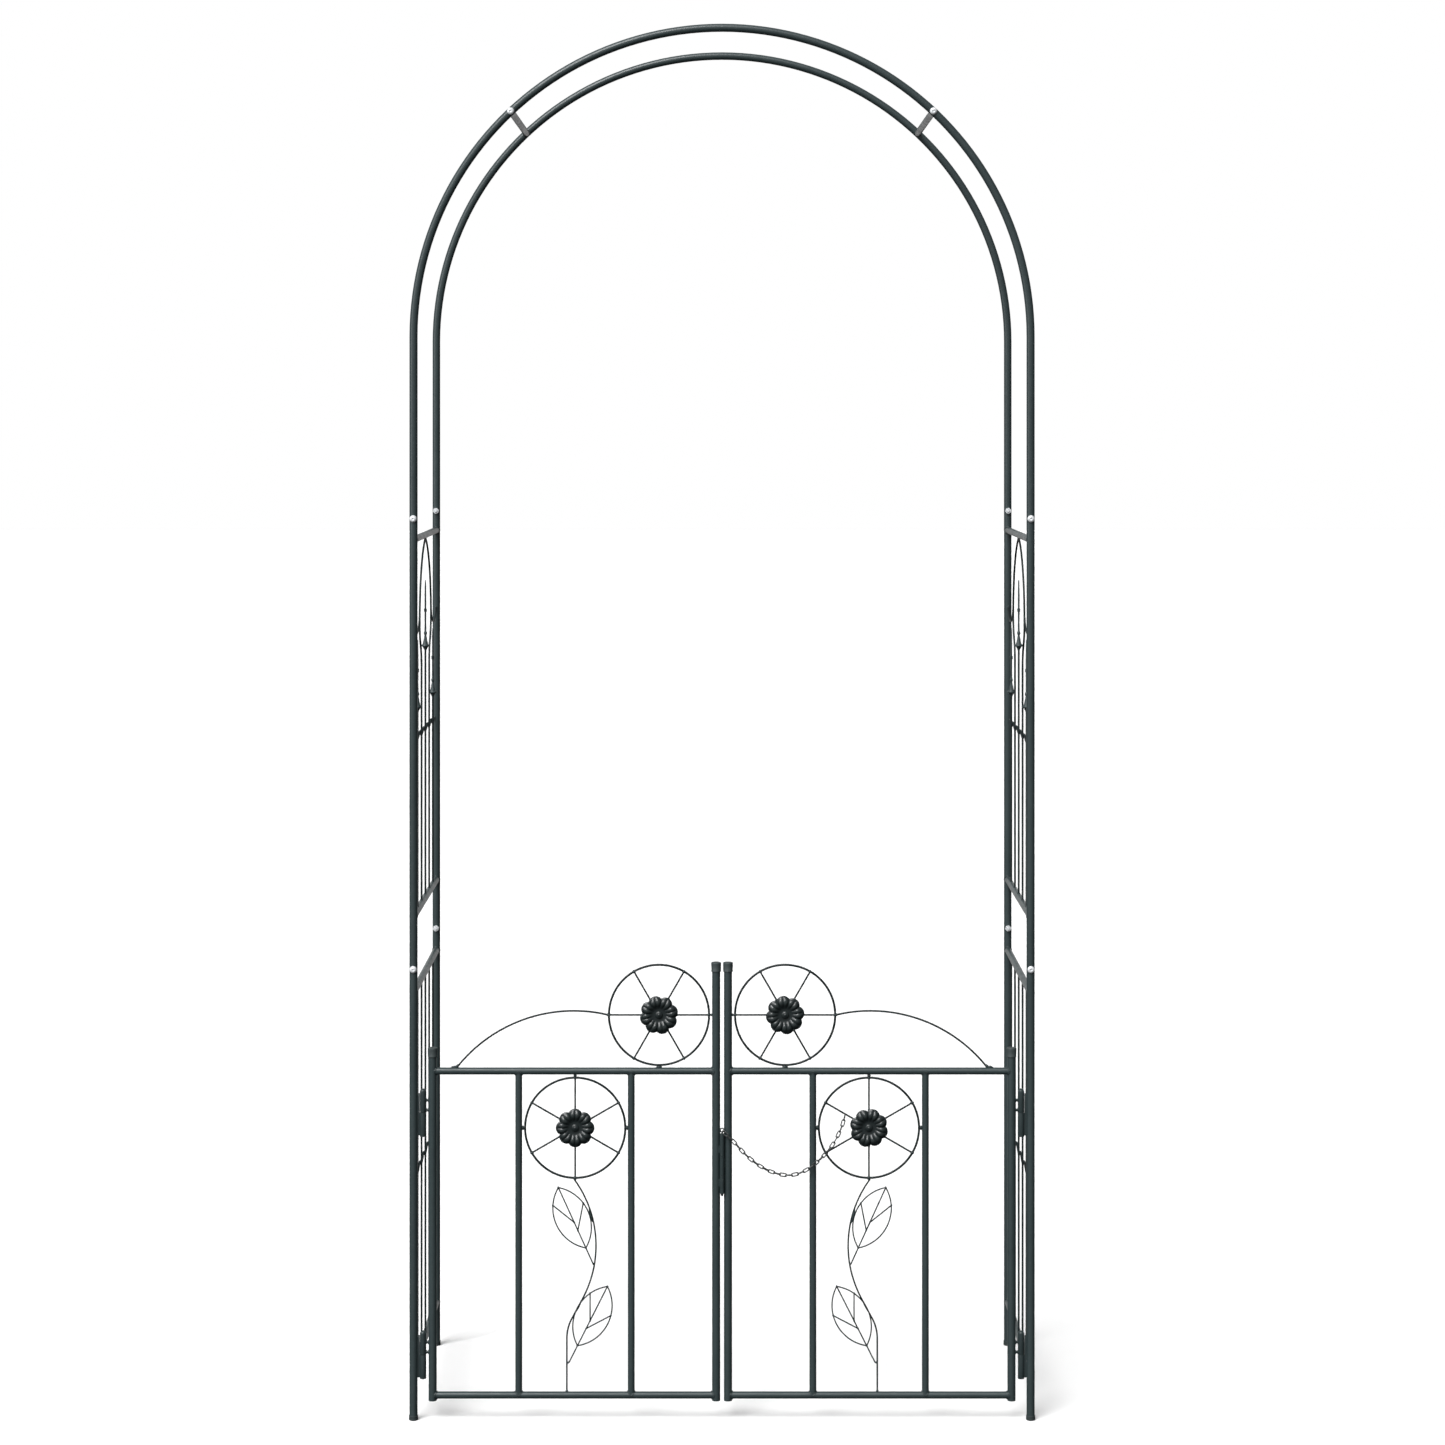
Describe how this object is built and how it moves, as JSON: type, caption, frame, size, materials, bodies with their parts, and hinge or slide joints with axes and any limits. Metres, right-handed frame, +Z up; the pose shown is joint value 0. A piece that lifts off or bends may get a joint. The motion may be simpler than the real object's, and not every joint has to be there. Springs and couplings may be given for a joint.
{
  "type": "metal trellis arch",
  "caption": "Free-standing garden arch of black steel tube with wire side trellises and a low ornamental double gate latched by a drop pin on a chain.",
  "frame": {"origin": "on the ground, midway between the four feet", "axes": "+X to the right seen from the gate side, +Y from the gate (front) to the back, +Z up"},
  "size_m": [1.0768, 0.4634, 2.4],
  "materials": {
    "coated_tube": "satin powder coat",
    "coated_wire": "satin powder coat",
    "coated_pressing": "satin powder coat on pressed sheet",
    "coated_casting": "satin powder coat on castings",
    "coated_fittings": "satin powder coat, worn where it rubs",
    "zinc_fastener": "bright zinc plate",
    "cap_plastic": "moulded, matte",
    "chain_steel": "dull dark steel"
  },
  "bodies": {
    "arch_frame": {"front_left_lower_post": "coated_tube", "front_left_upper_post": "coated_tube", "front_left_haunch": "coated_tube", "rear_left_lower_post": "coated_tube", "rear_left_upper_post": "coated_tube", "rear_left_haunch": "coated_tube", "front_right_lower_post": "coated_tube", "front_right_upper_post": "coated_tube", "front_right_haunch": "coated_tube", "rear_right_lower_post": "coated_tube", "rear_right_upper_post": "coated_tube", "rear_right_haunch": "coated_tube", "front_crown": "coated_tube", "rear_crown": "coated_tube", "tie_bars": "coated_tube", "joint_bolts": "zinc_fastener", "joint_nuts": "zinc_fastener", "crown_bolts": "zinc_fastener", "foot_caps": "cap_plastic", "panel_finials": "coated_casting", "ogive_wires": "coated_wire", "ogive_swags": "coated_wire", "hinge_hooks": "coated_fittings", "left_panel_rails": "coated_tube", "left_lower_wires": "coated_wire", "left_upper_wires": "coated_wire", "left_scallop_wires": "coated_wire", "right_panel_rails": "coated_tube", "right_lower_wires": "coated_wire", "right_upper_wires": "coated_wire", "right_scallop_wires": "coated_wire"},
    "left_gate": {"left_bottom_rail": "coated_tube", "left_top_rail": "coated_tube", "left_hinge_stile": "coated_tube", "left_meeting_stile": "coated_tube", "left_stile_caps": "cap_plastic", "left_balusters": "coated_tube", "left_upper_wheel": "coated_wire", "left_lower_wheel": "coated_wire", "left_rosettes": "coated_pressing", "left_brace_wire": "coated_wire", "left_vine": "coated_wire", "left_hinge_knuckles": "coated_fittings", "left_latch_knuckles": "coated_fittings"},
    "right_gate": {"right_bottom_rail": "coated_tube", "right_top_rail": "coated_tube", "right_hinge_stile": "coated_tube", "right_meeting_stile": "coated_tube", "right_stile_caps": "cap_plastic", "right_balusters": "coated_tube", "right_upper_wheel": "coated_wire", "right_lower_wheel": "coated_wire", "right_rosettes": "coated_pressing", "right_brace_wire": "coated_wire", "right_vine": "coated_wire", "right_hinge_knuckles": "coated_fittings", "right_latch_knuckle": "coated_fittings", "latch_chain": "chain_steel"},
    "latch_pin": {"latch_pin": "coated_fittings"}
  },
  "joints": [
    {"name": "left_gate_hinge", "type": "hinge", "parent": "arch_frame", "child": "left_gate", "pos_m": [-0.514, -0.218, 0.5285], "axis": [0, 0, -1], "range_deg": [0, 120]},
    {"name": "right_gate_hinge", "type": "hinge", "parent": "arch_frame", "child": "right_gate", "pos_m": [0.514, -0.218, 0.5285], "axis": [0, 0, 1], "range_deg": [0, 120]},
    {"name": "latch_pin_lift", "type": "slide", "parent": "right_gate", "child": "latch_pin", "axis": [0, 0, 1], "range_m": [0, 0.11], "deforming": ["latch_chain"]}
  ]
}
